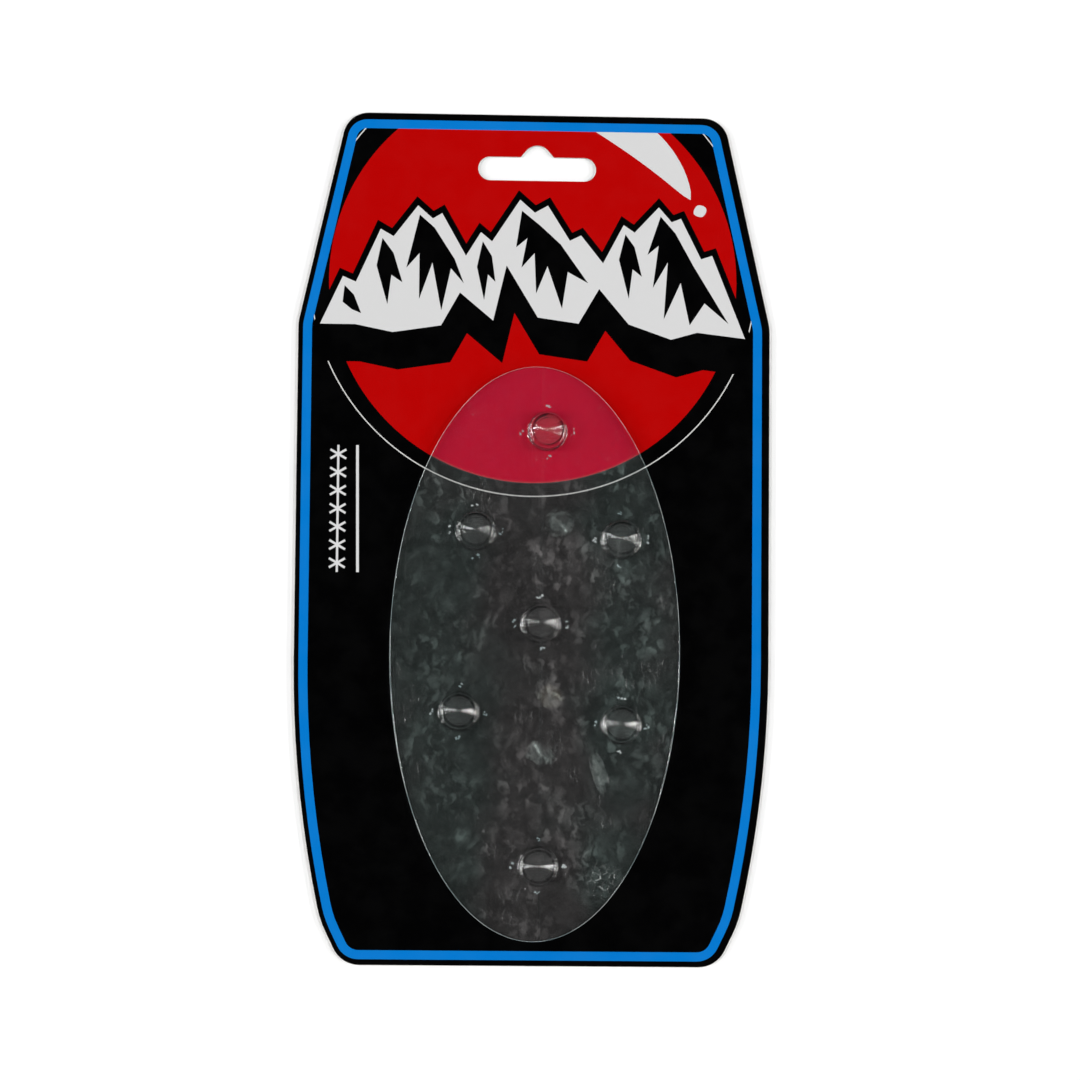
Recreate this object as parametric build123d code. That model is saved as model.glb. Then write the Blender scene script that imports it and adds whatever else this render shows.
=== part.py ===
from build123d import *
import os
from math import cos, radians, sin, tan

# Carded snowboard stomp pad, lying flat on its back. All sizes are in millimetres.
# +Z points out of the card's printed face, the way the studs stand. +Y points to the
# hang slot. The origin is at the middle of the card's back face, which rests at z = 0.

# Header card: die-cut board, tapered above the shoulders and rounded in below.
CARD_WIDTH = 127.0
CARD_HEIGHT = 228.6
CARD_THICKNESS = 0.6
CARD_TOP_WIDTH = 101.6
SHOULDER_Y = 57.15
TOP_CORNER_RADIUS = 7.0
SHOULDER_RADIUS = 12.0
SIDE_END_Y = -33.0
FLANK_RADIUS = 310.0
FLANK_TURN = 12.3
HEEL_RADIUS = 29.0
HEEL_TURN = 26.0
BOTTOM_CORNER_RADIUS = 7.8

# Hang slot: a long round-ended slot with a hump in the middle of its upper side.
SLOT_X = 0.3
SLOT_Y = 99.6
SLOT_LENGTH = 31.75
SLOT_HEIGHT = 6.35
HUMP_FOOT_WIDTH = 8.9
HUMP_SIDE_SLOPE = 50.0
HUMP_CROWN_RADIUS = 3.8

# Pad: an oval clear plate on an adhesive film on a release liner slit down the middle.
PAD_X = 0.75
PAD_Y = -31.1
PAD_WIDTH = 77.5
PAD_LENGTH = 153.5
GLUE_THICKNESS = 0.15
LINER_THICKNESS = 0.10
ADHESIVE_THICKNESS = 0.25
PLATE_THICKNESS = 1.5
PLATE_EDGE_RADIUS = 0.4
SLIT_X = 2.6
SLIT_WIDTH = 0.12

# Studs: tapered round pegs with a rounded rim and a shallow dished top.
STUD_FOOT_RADIUS = 5.6
STUD_FOOT_LAND = 0.08
STUD_FOOT_FILLET = 0.6
STUD_HEIGHT = 4.0
STUD_RIM_RADIUS = 4.85
STUD_RIM_ROUNDING = 0.8
STUD_DISH_DEPTH = 0.25

# Stud centres from the pad's centre. The studs are set by hand, so their pattern is only
# nearly symmetric.
STUD_PLACES = {
    "stud_top": (2.8, 59.3),
    "stud_upper_left": (-16.2, 32.4),
    "stud_upper_right": (22.8, 30.5),
    "stud_centre": (1.4, 7.8),
    "stud_lower_left": (-20.2, -15.9),
    "stud_lower_right": (23.1, -19.0),
    "stud_bottom": (1.3, -56.8),
}

# Glue spots between card and liner: centre x and y, length, width, and turn in degrees.
GLUE_SPOTS = {
    "glue_spot_top": (7.2, 3.9, 11.0, 9.0, 20.0),
    "glue_spot_middle": (5.0, -42.6, 10.0, 8.0, -40.0),
    "glue_spot_low": (2.4, -58.1, 12.0, 6.5, -30.0),
    "glue_spot_side": (18.2, -63.1, 17.0, 5.0, -70.0),
}

# Heights of the stack, from the card's back upwards.
LINER_Z = CARD_THICKNESS + GLUE_THICKNESS
ADHESIVE_Z = LINER_Z + LINER_THICKNESS
PLATE_Z = ADHESIVE_Z + ADHESIVE_THICKNESS
STUD_Z = PLATE_Z + PLATE_THICKNESS


def slab(outline, base_z, thickness):
    """A flat outline made into a solid that stands on base_z."""
    return extrude(Pos(0, 0, base_z) * outline, amount=thickness)


def card_outline():
    """The card's outline: the right half as tangent lines and arcs, and its mirror image."""
    half_width = CARD_WIDTH / 2
    half_height = CARD_HEIGHT / 2
    upper = FilletPolyline(
        (0, half_height),
        (CARD_TOP_WIDTH / 2, half_height),
        (half_width, SHOULDER_Y),
        (half_width, SIDE_END_Y),
        radius=[TOP_CORNER_RADIUS, SHOULDER_RADIUS],
    )
    flank = JernArc((half_width, SIDE_END_Y), (0, -1), FLANK_RADIUS, -FLANK_TURN)
    heel = JernArc(flank @ 1, flank % 1, HEEL_RADIUS, FLANK_TURN - HEEL_TURN)
    corner_drop = BOTTOM_CORNER_RADIUS * (1 - sin(radians(HEEL_TURN)))
    facet_drop = (heel @ 1).Y + half_height - corner_drop
    facet_end = (heel @ 1) + (heel % 1) * (facet_drop / cos(radians(HEEL_TURN)))
    facet = Line(heel @ 1, facet_end)
    corner = JernArc(facet @ 1, facet % 1, BOTTOM_CORNER_RADIUS, HEEL_TURN - 90)
    bottom = Line(corner @ 1, (0, -half_height))
    right_half = Curve() + [upper, flank, heel, facet, corner, bottom]
    return make_face(right_half + mirror(right_half, about=Plane.YZ))


def hang_slot():
    """The slot's outline: its hump has two straight sloping sides and a round crown."""
    half_foot = HUMP_FOOT_WIDTH / 2
    foot_y = SLOT_HEIGHT / 2
    peak_y = foot_y + half_foot * tan(radians(HUMP_SIDE_SLOPE))
    hump_side = [(half_foot, 0), (half_foot, foot_y), (0, peak_y), (-half_foot, foot_y)]
    hump = make_face(Polyline(*hump_side, (-half_foot, 0), close=True))
    hump = fillet(hump.vertices().sort_by(Axis.Y)[-1], HUMP_CROWN_RADIUS)
    return Pos(SLOT_X, SLOT_Y) * (SlotOverall(SLOT_LENGTH, SLOT_HEIGHT) + hump)


def header_card():
    """The die-cut board with its hang slot."""
    return slab(card_outline() - hang_slot(), 0, CARD_THICKNESS)


def glue_spot(x, y, length, width, turn):
    """A spot of hot-melt glue pressed flat between the card and the liner."""
    outline = Pos(x, y) * Rot(0, 0, turn) * Ellipse(length / 2, width / 2)
    return slab(outline, CARD_THICKNESS, GLUE_THICKNESS)


def pad_outline():
    """The pad's oval, shared by the liner, the adhesive and the plate."""
    return Pos(PAD_X, PAD_Y) * Ellipse(PAD_WIDTH / 2, PAD_LENGTH / 2)


def liner_half(side):
    """The release liner on one side of its slit: side is -1 for left and 1 for right."""
    half_length = PAD_LENGTH / 2 + 1
    inner_x = SLIT_X + side * SLIT_WIDTH / 2
    keep = Pos(inner_x + side * PAD_WIDTH / 2, PAD_Y) * Rectangle(PAD_WIDTH, 2 * half_length)
    return slab(pad_outline() & keep, LINER_Z, LINER_THICKNESS)


def adhesive_film():
    """The pressure-sensitive film that holds the pad to a board."""
    return slab(pad_outline(), ADHESIVE_Z, ADHESIVE_THICKNESS)


def pad_plate():
    """The clear plate, with its upper edge rounded over."""
    plate = slab(pad_outline(), PLATE_Z, PLATE_THICKNESS)
    upper_edge = plate.faces().sort_by(Axis.Z)[-1].edges()
    return fillet(upper_edge, PLATE_EDGE_RADIUS)


def stud_profile():
    """Half of a stud's section in the XZ plane, from its foot to its dished top."""
    neck_radius = STUD_FOOT_RADIUS - STUD_FOOT_FILLET
    neck_z = STUD_FOOT_LAND + STUD_FOOT_FILLET
    rim_z = STUD_HEIGHT - STUD_RIM_ROUNDING
    crown_radius = STUD_RIM_RADIUS - STUD_RIM_ROUNDING
    foot = Polyline((0, 0, 0), (STUD_FOOT_RADIUS, 0, 0), (STUD_FOOT_RADIUS, 0, STUD_FOOT_LAND))
    sweep_depth = STUD_FOOT_FILLET * (1 - cos(radians(45)))
    foot_fillet = ThreePointArc(
        foot @ 1,
        (neck_radius + sweep_depth, 0, STUD_FOOT_LAND + sweep_depth),
        (neck_radius, 0, neck_z),
    )
    side = Line(foot_fillet @ 1, (STUD_RIM_RADIUS, 0, rim_z))
    rim_bulge = STUD_RIM_ROUNDING * cos(radians(45))
    rim = ThreePointArc(
        side @ 1,
        (crown_radius + rim_bulge, 0, rim_z + rim_bulge),
        (crown_radius, 0, STUD_HEIGHT),
    )
    dish = Polyline(rim @ 1, (0, 0, STUD_HEIGHT - STUD_DISH_DEPTH), (0, 0, 0))
    return make_face(Curve() + [foot, foot_fillet, side, rim, dish])


def stud(x, y):
    """One stud, standing on the plate at its place from the pad's centre."""
    return Pos(PAD_X + x, PAD_Y + y, STUD_Z) * revolve(stud_profile(), Axis.Z)


def all_parts():
    """Every separate piece by name."""
    parts = {"header_card": header_card()}
    for name, spot in GLUE_SPOTS.items():
        parts[name] = glue_spot(*spot)
    parts["liner_left"] = liner_half(-1)
    parts["liner_right"] = liner_half(1)
    parts["adhesive_film"] = adhesive_film()
    parts["pad_plate"] = pad_plate()
    for name, place in STUD_PLACES.items():
        parts[name] = stud(*place)
    return parts


os.makedirs("parts", exist_ok=True)
for part_name, shape in all_parts().items():
    export_step(shape, f"parts/{part_name}.step")
    print(part_name, round(shape.volume, 2), "mm3")
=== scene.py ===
import math
import random
from collections import namedtuple

import bpy
import bmesh
import numpy as np
from mathutils import Euler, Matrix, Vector, noise
from mathutils.geometry import delaunay_2d_cdt


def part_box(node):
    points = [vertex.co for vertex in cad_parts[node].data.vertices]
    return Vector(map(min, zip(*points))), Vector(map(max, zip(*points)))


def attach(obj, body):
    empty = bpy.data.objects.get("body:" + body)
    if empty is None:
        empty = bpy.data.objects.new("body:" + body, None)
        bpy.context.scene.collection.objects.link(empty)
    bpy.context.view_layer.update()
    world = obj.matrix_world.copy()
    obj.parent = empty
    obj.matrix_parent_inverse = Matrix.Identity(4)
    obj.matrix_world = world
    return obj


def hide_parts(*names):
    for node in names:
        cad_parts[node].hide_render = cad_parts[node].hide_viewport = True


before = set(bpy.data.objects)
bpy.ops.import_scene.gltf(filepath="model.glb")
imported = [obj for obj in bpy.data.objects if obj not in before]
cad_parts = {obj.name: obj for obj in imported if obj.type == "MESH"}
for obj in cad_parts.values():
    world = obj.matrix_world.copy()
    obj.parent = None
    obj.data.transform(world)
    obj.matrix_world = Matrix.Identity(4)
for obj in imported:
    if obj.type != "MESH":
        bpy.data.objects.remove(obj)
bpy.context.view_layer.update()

# A carded snowboard stomp pad lying flat, with its print and its studs up. Outlines and
# heights below are in millimetres in the CAD's own frame, and become metres in the meshes.
MM = 0.001


def box_mm(node):
    """The lowest and highest corners of a CAD node, in millimetres."""
    low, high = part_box(node)
    return low / MM, high / MM


PLATE_LOW, PLATE_HIGH = box_mm("pad_plate")
CARD_LOW, CARD_HIGH = box_mm("header_card")
LINER_LOW, LINER_HIGH = box_mm("liner_left")
FILM_LOW, FILM_HIGH = box_mm("adhesive_film")
PAD_CENTRE = (PLATE_LOW + PLATE_HIGH) / 2
PAD_HALF = (PLATE_HIGH - PLATE_LOW) / 2
GLUE_NODES = ["glue_spot_top", "glue_spot_middle", "glue_spot_low", "glue_spot_side"]
STUD_NODES = sorted(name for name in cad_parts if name.startswith("stud_"))

# Where the printed artwork sits on the card: the border line, then the sun and its ring, and
# the mountain range with its outline and its drop shadow.
PRINT_SHIFT = Vector((-0.4, -0.15))
PRINT_MARGIN = 1.65
BORDER_WIDTH = 2.4
SUN_CENTRE = Vector((-0.5, 69.3))
SUN_RADIUS = 54.9
RING_CENTRE = Vector((-0.4, 70.9))
RING_RADIUS = 60.1
RING_WIDTH = 0.30
RANGE_SHIFT = Vector((-0.2, -0.8))
PEAK_OUTLINE = 1.7
PEAK_DROP = Vector((1.5, -8.4))

# The middle of the liner's crumpled patch.
LINER_CRUMPLE = (19.3, -91.5)

# A small gap that keeps neighbouring see-through faces apart.
FILM_GAP = 0.02

# The margin between a filled cap's edge and its inner points, where those sit in their grid's
# squares, and the least that an inset is divided by, so that no sharp corner runs far ahead.
CAP_MARGIN = 0.35
GRID_JITTER = (0.25, 0.75)
GRID_SEED = 7
CORNER_LIMIT = 0.35

# How near two points are before they count as one: in an outline, and in a mesh in metres.
MERGE_REACH = 1e-4
WELD_REACH = 2e-6


# ---------------------------- outlines

def node_loops(node):
    """The outlines of a CAD node's top face as lists of Vectors, the longest first."""
    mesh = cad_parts[node].data
    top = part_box(node)[1].z
    same_height = 1e-6
    follows = {}
    for face in mesh.polygons:
        corners = [mesh.vertices[i].co for i in face.vertices]
        if all(abs(c.z - top) < same_height for c in corners):
            keys = [(round(c.x / MM, 4), round(c.y / MM, 4)) for c in corners]
            for start, end in zip(keys, keys[1:] + keys[:1]):
                if start in follows.get(end, ()):
                    follows[end].discard(start)
                else:
                    follows.setdefault(start, set()).add(end)
    loops = []
    while any(follows.values()):
        start = next(key for key in follows if follows[key])
        loop = [start]
        step = follows[start].pop()
        while step != start:
            loop.append(step)
            step = follows[step].pop()
        loops.append([Vector(key) for key in loop])
    return sorted(loops, key=len, reverse=True)


def ellipse(centre, half_width, half_height, steps):
    """An oval outline, anticlockwise."""
    turns = (2 * math.pi * i / steps for i in range(steps))
    return [
        Vector((centre.x + half_width * math.cos(turn), centre.y + half_height * math.sin(turn)))
        for turn in turns
    ]


def circle(centre, radius, steps=180):
    """A round outline."""
    return ellipse(centre, radius, radius, steps)


def pad_oval():
    """The outline that the plate, the adhesive and the liner share."""
    return ellipse(PAD_CENTRE, PAD_HALF.x, PAD_HALF.y, 360)


def half_oval(side, cut_x):
    """The part of the oval on one side of an upright line: side is -1 for left, 1 for right."""
    clear_of_cut = 0.05
    kept = [p for p in pad_oval() if side * (p.x - cut_x) > clear_of_cut]
    rise = PAD_HALF.y * math.sqrt(1 - ((cut_x - PAD_CENTRE.x) / PAD_HALF.x) ** 2)
    start = min(range(len(kept)), key=lambda i: side * kept[i].y)
    kept = kept[start:] + kept[:start]
    first, last = (-1, 1) if side > 0 else (1, -1)
    return [
        Vector((cut_x, PAD_CENTRE.y + first * rise)),
        *kept,
        Vector((cut_x, PAD_CENTRE.y + last * rise)),
    ]


def inset(loop, distance):
    """The outline moved towards its left side, which is the material's side."""
    moved = []
    for i, point in enumerate(loop):
        before = (point - loop[i - 1]).normalized()
        after = (loop[(i + 1) % len(loop)] - point).normalized()
        normal = Vector((-before.y - after.y, before.x + after.x)).normalized()
        stretch = max(CORNER_LIMIT, normal.dot(Vector((-after.y, after.x))))
        moved.append(point + normal * (distance / stretch))
    return moved


def shifted(loop, offset):
    """The outline moved as a whole."""
    return [point + offset for point in loop]


def inside(points, loop):
    """For each point, whether it lies inside the closed outline."""
    found = np.zeros(len(points), bool)
    for a, b in zip(loop, loop[1:] + loop[:1]):
        crosses = (a.y > points[:, 1]) != (b.y > points[:, 1])
        if a.y != b.y:
            at_x = a.x + (points[:, 1] - a.y) * (b.x - a.x) / (b.y - a.y)
            found ^= crosses & (points[:, 0] < at_x)
    return found


# ---------------------------- meshes

def triangulate(loops, extra=()):
    """Delaunay triangles whose edges follow every outline: points and index triples."""
    points, edges = list(extra), []
    for loop in loops:
        first = len(points)
        points.extend(loop)
        edges.extend((first + i, first + (i + 1) % len(loop)) for i in range(len(loop)))
    out = delaunay_2d_cdt(points, edges, [], 0, MERGE_REACH)
    return out[0], [tuple(face) for face in out[2]]


def grid_points(loop, pitch):
    """Jittered points all over the inside of an outline, clear of its edge."""
    dice = random.Random(GRID_SEED)
    xs, ys = [p.x for p in loop], [p.y for p in loop]
    found = []
    for i in range(int((max(xs) - min(xs)) / pitch) + 1):
        for j in range(int((max(ys) - min(ys)) / pitch) + 1):
            jitter_x, jitter_y = dice.uniform(*GRID_JITTER), dice.uniform(*GRID_JITTER)
            found.append((min(xs) + (i + jitter_x) * pitch, min(ys) + (j + jitter_y) * pitch))
    found = np.array(found)
    kept = found[inside(found, inset(loop, pitch * 0.5))]
    return [Vector(p) for p in kept]


def quarter_turn(steps):
    """Angles from 0 to a quarter turn, for a rounded profile."""
    return [math.radians(90 * i / steps) for i in range(steps + 1)]


def finish_mesh(name, mesh_data, materials, smooth_degrees=35):
    """A mesh object with its materials, smooth except across sharp edges."""
    mesh_data.name = name
    for material in materials:
        mesh_data.materials.append(material)
    mesh_data.polygons.foreach_set("use_smooth", [True] * len(mesh_data.polygons))
    mesh_data.set_sharp_from_angle(angle=math.radians(smooth_degrees))
    piece = bpy.data.objects.new(name, mesh_data)
    bpy.context.scene.collection.objects.link(piece)
    return piece


def add_cap(builder, outlines, ring, pitch, marked, pick, relief):
    """A flat cap over a slab's outlines at a ring, which is (inset, height). Its faces follow the
    marked outlines too, pick gives their material numbers from their centres, and relief gives
    how far the cap stands up at x and y. Pitch is the spacing of its inner points, if any."""
    depth, height = ring
    rims = [inset(loop, depth) for loop in outlines]
    fill = grid_points(rims[0], pitch) if pitch else []
    support = [inset(rim, CAP_MARGIN) for rim in rims] if pitch else []
    points, faces = triangulate(rims + support + marked, fill)
    centres = np.array([
        [sum(points[i].x for i in face) / 3, sum(points[i].y for i in face) / 3] for face in faces
    ])
    covered = inside(centres, rims[0])
    for rim in rims[1:]:
        covered &= ~inside(centres, rim)
    verts = {}
    for face, number in zip(np.array(faces)[covered], pick(centres)[covered]):
        for i in face:
            if i not in verts:
                x, y = points[i]
                verts[i] = builder.verts.new((x * MM, y * MM, (height + relief(x, y)) * MM))
        made = builder.faces.new([verts[i] for i in face])
        made.material_index = int(number)


def all_of(number):
    """A function that gives every face the same material number."""
    return lambda centres: np.full(len(centres), number)


def level(x, y):
    """The relief of a flat cap."""
    return 0.0


def make_slab(name, outlines, profile, materials, marked=(), pick=all_of(0), side_materials=(0,),
              bottom_material=0, pitch=None, relief=level):
    """A closed flat solid. Profile lists (inset, height) rings from the bottom to the top, and
    side_materials has a number for each ring of side faces, the last one repeated as needed.
    Marked, pick and relief are those of its top cap."""
    builder = bmesh.new()
    add_cap(builder, outlines, profile[0], pitch, [], all_of(bottom_material), level)
    add_cap(builder, outlines, profile[-1], pitch, list(marked), pick, relief)
    for loop in outlines:
        rings = []
        for depth, z in profile:
            rings.append([builder.verts.new((p.x * MM, p.y * MM, z * MM)) for p in inset(loop, depth)])
        for step, (lower, upper) in enumerate(zip(rings, rings[1:])):
            for i in range(len(lower)):
                j = (i + 1) % len(lower)
                made = builder.faces.new((lower[i], lower[j], upper[j], upper[i]))
                made.material_index = side_materials[min(step, len(side_materials) - 1)]
    bmesh.ops.remove_doubles(builder, verts=builder.verts, dist=WELD_REACH)
    bmesh.ops.recalc_face_normals(builder, faces=builder.faces)
    mesh_data = bpy.data.meshes.new(name)
    builder.to_mesh(mesh_data)
    builder.free()
    return finish_mesh(name, mesh_data, materials)


def make_lathed(name, centre, base_z, profile, materials, foot_material, steps=128):
    """A closed turned solid. Profile lists (radius, height) from the foot's rim to the top's
    middle. Each point stores its reach, its distance from the axis over the foot's radius."""
    builder = bmesh.new()
    origin = Vector((centre.x, centre.y, base_z))

    def at(radius, height, step):
        turn = 2 * math.pi * step / steps
        spot = origin + Vector((radius * math.cos(turn), radius * math.sin(turn), height))
        return builder.verts.new(spot * MM)

    rings = [[at(radius, height, step) for step in range(steps)] for radius, height in profile[:-1]]
    for lower, upper in zip(rings, rings[1:]):
        for i in range(steps):
            j = (i + 1) % steps
            builder.faces.new((lower[i], lower[j], upper[j], upper[i]))
    crown = builder.verts.new((origin + Vector((0, 0, profile[-1][1]))) * MM)
    root = builder.verts.new((origin + Vector((0, 0, profile[0][1]))) * MM)
    for i in range(steps):
        j = (i + 1) % steps
        builder.faces.new((rings[-1][i], rings[-1][j], crown))
        foot = builder.faces.new((rings[0][j], rings[0][i], root))
        foot.material_index = foot_material
    mesh_data = bpy.data.meshes.new(name)
    builder.to_mesh(mesh_data)
    builder.free()
    reach = mesh_data.attributes.new("reach", "FLOAT", "POINT")
    for vert, value in zip(mesh_data.vertices, reach.data):
        value.value = (vert.co.xy / MM - centre.xy).length / profile[0][0]
    return finish_mesh(name, mesh_data, materials, smooth_degrees=50)


# ---------------------------- materials

NO_TINT = (1.0, 1.0, 1.0, 1)


class Shader:
    """The node tree of a new material, or of a new world, being written."""

    def __init__(self, name, kind="Material"):
        self.owner = bpy.data.worlds.new(name) if kind == "World" else bpy.data.materials.new(name)
        self.owner.use_nodes = True
        self.tree = self.owner.node_tree
        self.tree.nodes.clear()
        self.output = self.add(f"Output{kind}")

    def add(self, kind, inputs=None, **settings):
        """A new node with its settings made, and its inputs set or linked."""
        node = self.tree.nodes.new(f"ShaderNode{kind}")
        for key, value in settings.items():
            setattr(node, key, value)
        for key, value in (inputs or {}).items():
            if isinstance(value, bpy.types.NodeSocket):
                self.tree.links.new(value, node.inputs[key])
            else:
                node.inputs[key].default_value = value
        return node

    def place(self):
        """Object coordinates in millimetres."""
        return self.scaled(self.add("TexCoord").outputs["Object"], 1 / MM)

    def scaled(self, vector, factor):
        return self.add("VectorMath", {0: vector, "Scale": factor}, operation="SCALE").outputs[0]

    def stretched(self, where, scale, turn=0.0):
        """Coordinates turned about the upright axis and scaled along each axis."""
        return self.add("Mapping", {"Vector": where, "Rotation": (0, 0, turn), "Scale": scale}).outputs[0]

    def warped(self, where, scale, detail, push):
        """Coordinates pushed about by a swirl of noise, up to a distance."""
        swirl = self.add("TexNoise", {"Vector": where, "Scale": scale, "Detail": detail}).outputs["Color"]
        return self.add("VectorMath", {0: where, 1: self.scaled(swirl, push)}, operation="ADD").outputs[0]

    def distance(self, where, spot):
        return self.add("VectorMath", {0: where, 1: spot}, operation="DISTANCE").outputs["Value"]

    def noise(self, where, scale, detail=3.0, rough=0.55, distortion=0.0):
        return self.add("TexNoise", {"Vector": where, "Scale": scale, "Detail": detail,
                                     "Roughness": rough, "Distortion": distortion}).outputs["Fac"]

    def attribute(self, name):
        """A number stored at each point of the mesh, or 0 where there is none."""
        return self.add("Attribute", attribute_name=name).outputs["Fac"]

    def ramp(self, value, low, high, from_low=0.3, from_high=0.7):
        """Value spread smoothly from one pair of limits to another."""
        return self.add("MapRange", {0: value, 1: from_low, 2: from_high, 3: low, 4: high},
                        interpolation_type="SMOOTHSTEP").outputs[0]

    def rise(self, value, start, end):
        """0 where value is under start, 1 where it is over end, and smooth between them."""
        return self.ramp(value, 0.0, 1.0, start, end)

    def fall(self, value, start, end):
        """1 where value is under start, 0 where it is over end, and smooth between them."""
        return self.ramp(value, 1.0, 0.0, start, end)

    def math(self, operation, a, b=0.0):
        return self.add("Math", {0: a, 1: b}, operation=operation).outputs[0]

    def times(self, a, b):
        return self.math("MULTIPLY", a, b)

    def plus(self, base, *parts):
        """A base value with others added to it, each times its own weight."""
        for value, weight in parts:
            base = self.math("ADD", self.times(value, weight), base)
        return base

    def mix(self, factor, a, b):
        """A colour between two colours."""
        return self.add("Mix", {"Factor": factor, "A": a, "B": b}, data_type="RGBA").outputs["Result"]

    def bump(self, height, strength, distance):
        """A bumped normal. The distance is in millimetres."""
        inputs = {"Height": height, "Strength": strength, "Distance": distance * MM}
        return self.add("Bump", inputs).outputs[0]

    def principled(self, inputs):
        return self.add("BsdfPrincipled", inputs).outputs[0]

    def clear(self, tint=NO_TINT):
        """A face that light goes straight through."""
        return self.add("BsdfTransparent", {"Color": tint}).outputs[0]

    def blend(self, factor, a, b):
        """A shader between two shaders."""
        return self.add("MixShader", {0: factor, 1: a, 2: b}).outputs[0]

    def surface(self, shader):
        """The finished material or world, which shows this shader."""
        self.tree.links.new(shader, self.output.inputs["Surface"])
        return self.owner


def ink(name, base, worn, specular):
    """Offset ink on satin board: faint mottle, fine paper tooth, rubbed specks and patchy gloss."""
    s = Shader(name)
    where = s.place()
    mottle = s.rise(s.noise(where, 0.11, detail=4.0, rough=0.6), 0.3, 0.7)
    grain = s.noise(where, 7.0, detail=2.0)
    specks = s.rise(s.noise(where, 1.7, detail=5.0, rough=0.7, distortion=0.4), 0.725, 0.78)
    scuffs = s.rise(s.noise(where, 0.05), 0.45, 0.7)
    toned = s.mix(s.times(mottle, 0.06), base, worn)
    rubbed = s.mix(s.times(specks, s.times(scuffs, 0.35)), toned, worn)
    rough = s.plus(s.ramp(mottle, 0.24, 0.32, 0.0, 1.0), (grain, 0.08))
    tooth = s.bump(s.plus(grain, (specks, -0.6)), strength=0.25, distance=0.02)
    return s.surface(s.principled({
        "Base Color": rubbed, "Roughness": rough, "Specular IOR Level": specular, "Normal": tooth}))


def board_edge():
    """The cut edge of the board: pale layered fibres, dirtied a little by the die."""
    s = Shader("board_core")
    where = s.place()
    fibres = s.noise(s.stretched(where, (0.6, 0.6, 14.0)), 1.0, detail=4.0, rough=0.6)
    dirt = s.ramp(s.noise(where, 0.4), 0.0, 0.5, 0.45, 0.7)
    paper = s.mix(fibres, (0.42, 0.40, 0.36, 1), (0.66, 0.64, 0.60, 1))
    return s.surface(s.principled({
        "Base Color": s.mix(dirt, paper, (0.20, 0.19, 0.18, 1)), "Roughness": s.ramp(fibres, 0.75, 0.95),
        "Specular IOR Level": 0.2, "Normal": s.bump(fibres, strength=0.6, distance=0.04)}))


def board_back():
    """The unprinted back: pale grey recycled board with darker fibres and flecks."""
    s = Shader("board_back")
    where = s.place()
    cloud = s.noise(where, 0.06, detail=4.0, rough=0.6)
    fibre = s.noise(s.stretched(where, (1.0, 0.22, 1.0)), 3.0, detail=4.0, rough=0.7, distortion=0.6)
    fleck = s.rise(s.noise(where, 1.4, detail=4.0, rough=0.65), 0.68, 0.74)
    pale = s.mix(cloud, (0.50, 0.48, 0.44, 1), (0.60, 0.58, 0.54, 1))
    grained = s.mix(s.ramp(fibre, 0.0, 0.55, 0.55, 0.75), pale, (0.36, 0.34, 0.31, 1))
    colour = s.mix(s.times(fleck, 0.6), grained, (0.22, 0.20, 0.18, 1))
    return s.surface(s.principled({
        "Base Color": colour, "Roughness": s.ramp(fibre, 0.72, 0.9),
        "Specular IOR Level": 0.2, "Normal": s.bump(fibre, strength=0.4, distance=0.03)}))


def lamp_through(s, shader, edge_light):
    """Lets lamps shine through a clear shader, with less light through faces that they graze."""
    shadow_ray = s.add("LightPath").outputs["Is Shadow Ray"]
    facing = s.add("LayerWeight", {"Blend": 0.5}).outputs["Facing"]
    passed = s.mix(s.rise(facing, 0.40, 0.90), NO_TINT, (edge_light, edge_light, edge_light, 1))
    return s.surface(s.blend(shadow_ray, shader, s.clear(passed)))


def clear_plastic(name, edge_light, coat, bloom):
    """Glossy clear moulded plastic with faint handling haze, fine scratches and a soft ripple.
    Edge_light is how much lamp light passes a grazed face, and bloom how milky a top is within
    a stud's rim."""
    s = Shader(name)
    where = s.place()
    haze = s.noise(where, 0.08)
    grime = s.rise(s.noise(where, 0.9, detail=5.0, rough=0.7, distortion=0.5), 0.55, 0.8)
    lines = s.stretched(where, (6.0, 0.12, 1.0), turn=0.9)
    scratch = s.rise(s.noise(lines, 1.0, rough=0.8), 0.70, 0.76)
    rough = s.plus(s.ramp(haze, 0.004, 0.02), (grime, 0.03), (scratch, 0.10))
    ripple = s.plus(s.noise(where, 0.16, detail=2.0), (scratch, -0.03))
    glass = s.principled({
        "Base Color": s.mix(haze, (0.975, 0.99, 0.985, 1), NO_TINT), "Roughness": rough, "IOR": 1.49,
        "Transmission Weight": 1.0, "Coat Weight": coat, "Coat IOR": 1.7, "Coat Roughness": 0.06,
        "Normal": s.bump(ripple, strength=0.25, distance=0.08)})
    within_rim = s.fall(s.attribute("reach"), 0.68, 0.77)
    amount = s.times(s.ramp(grime, bloom, 1.8 * bloom, 0.0, 1.0), within_rim)
    milk = s.add("BsdfDiffuse", {"Color": (0.96, 1.0, 0.98, 1)}).outputs[0]
    return lamp_through(s, s.blend(amount, glass, milk), edge_light)


def stud_joint():
    """The cemented foot of a stud: clear, but for a smoky grey ring, painted shade that stands in
    for the dark ring seen under the stud's rim.
    """
    s = Shader("stud_joint_painted_shade")
    reach = s.attribute("reach")
    # Painted shade: a grey ring in the clear joint darkens what is seen through the stud's rim.
    ring = s.times(s.rise(reach, 0.62, 0.77), s.fall(reach, 0.90, 0.97))
    return s.surface(s.clear(s.mix(ring, (0.96, 0.96, 0.96, 1), (0.24, 0.24, 0.24, 1))))


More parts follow.
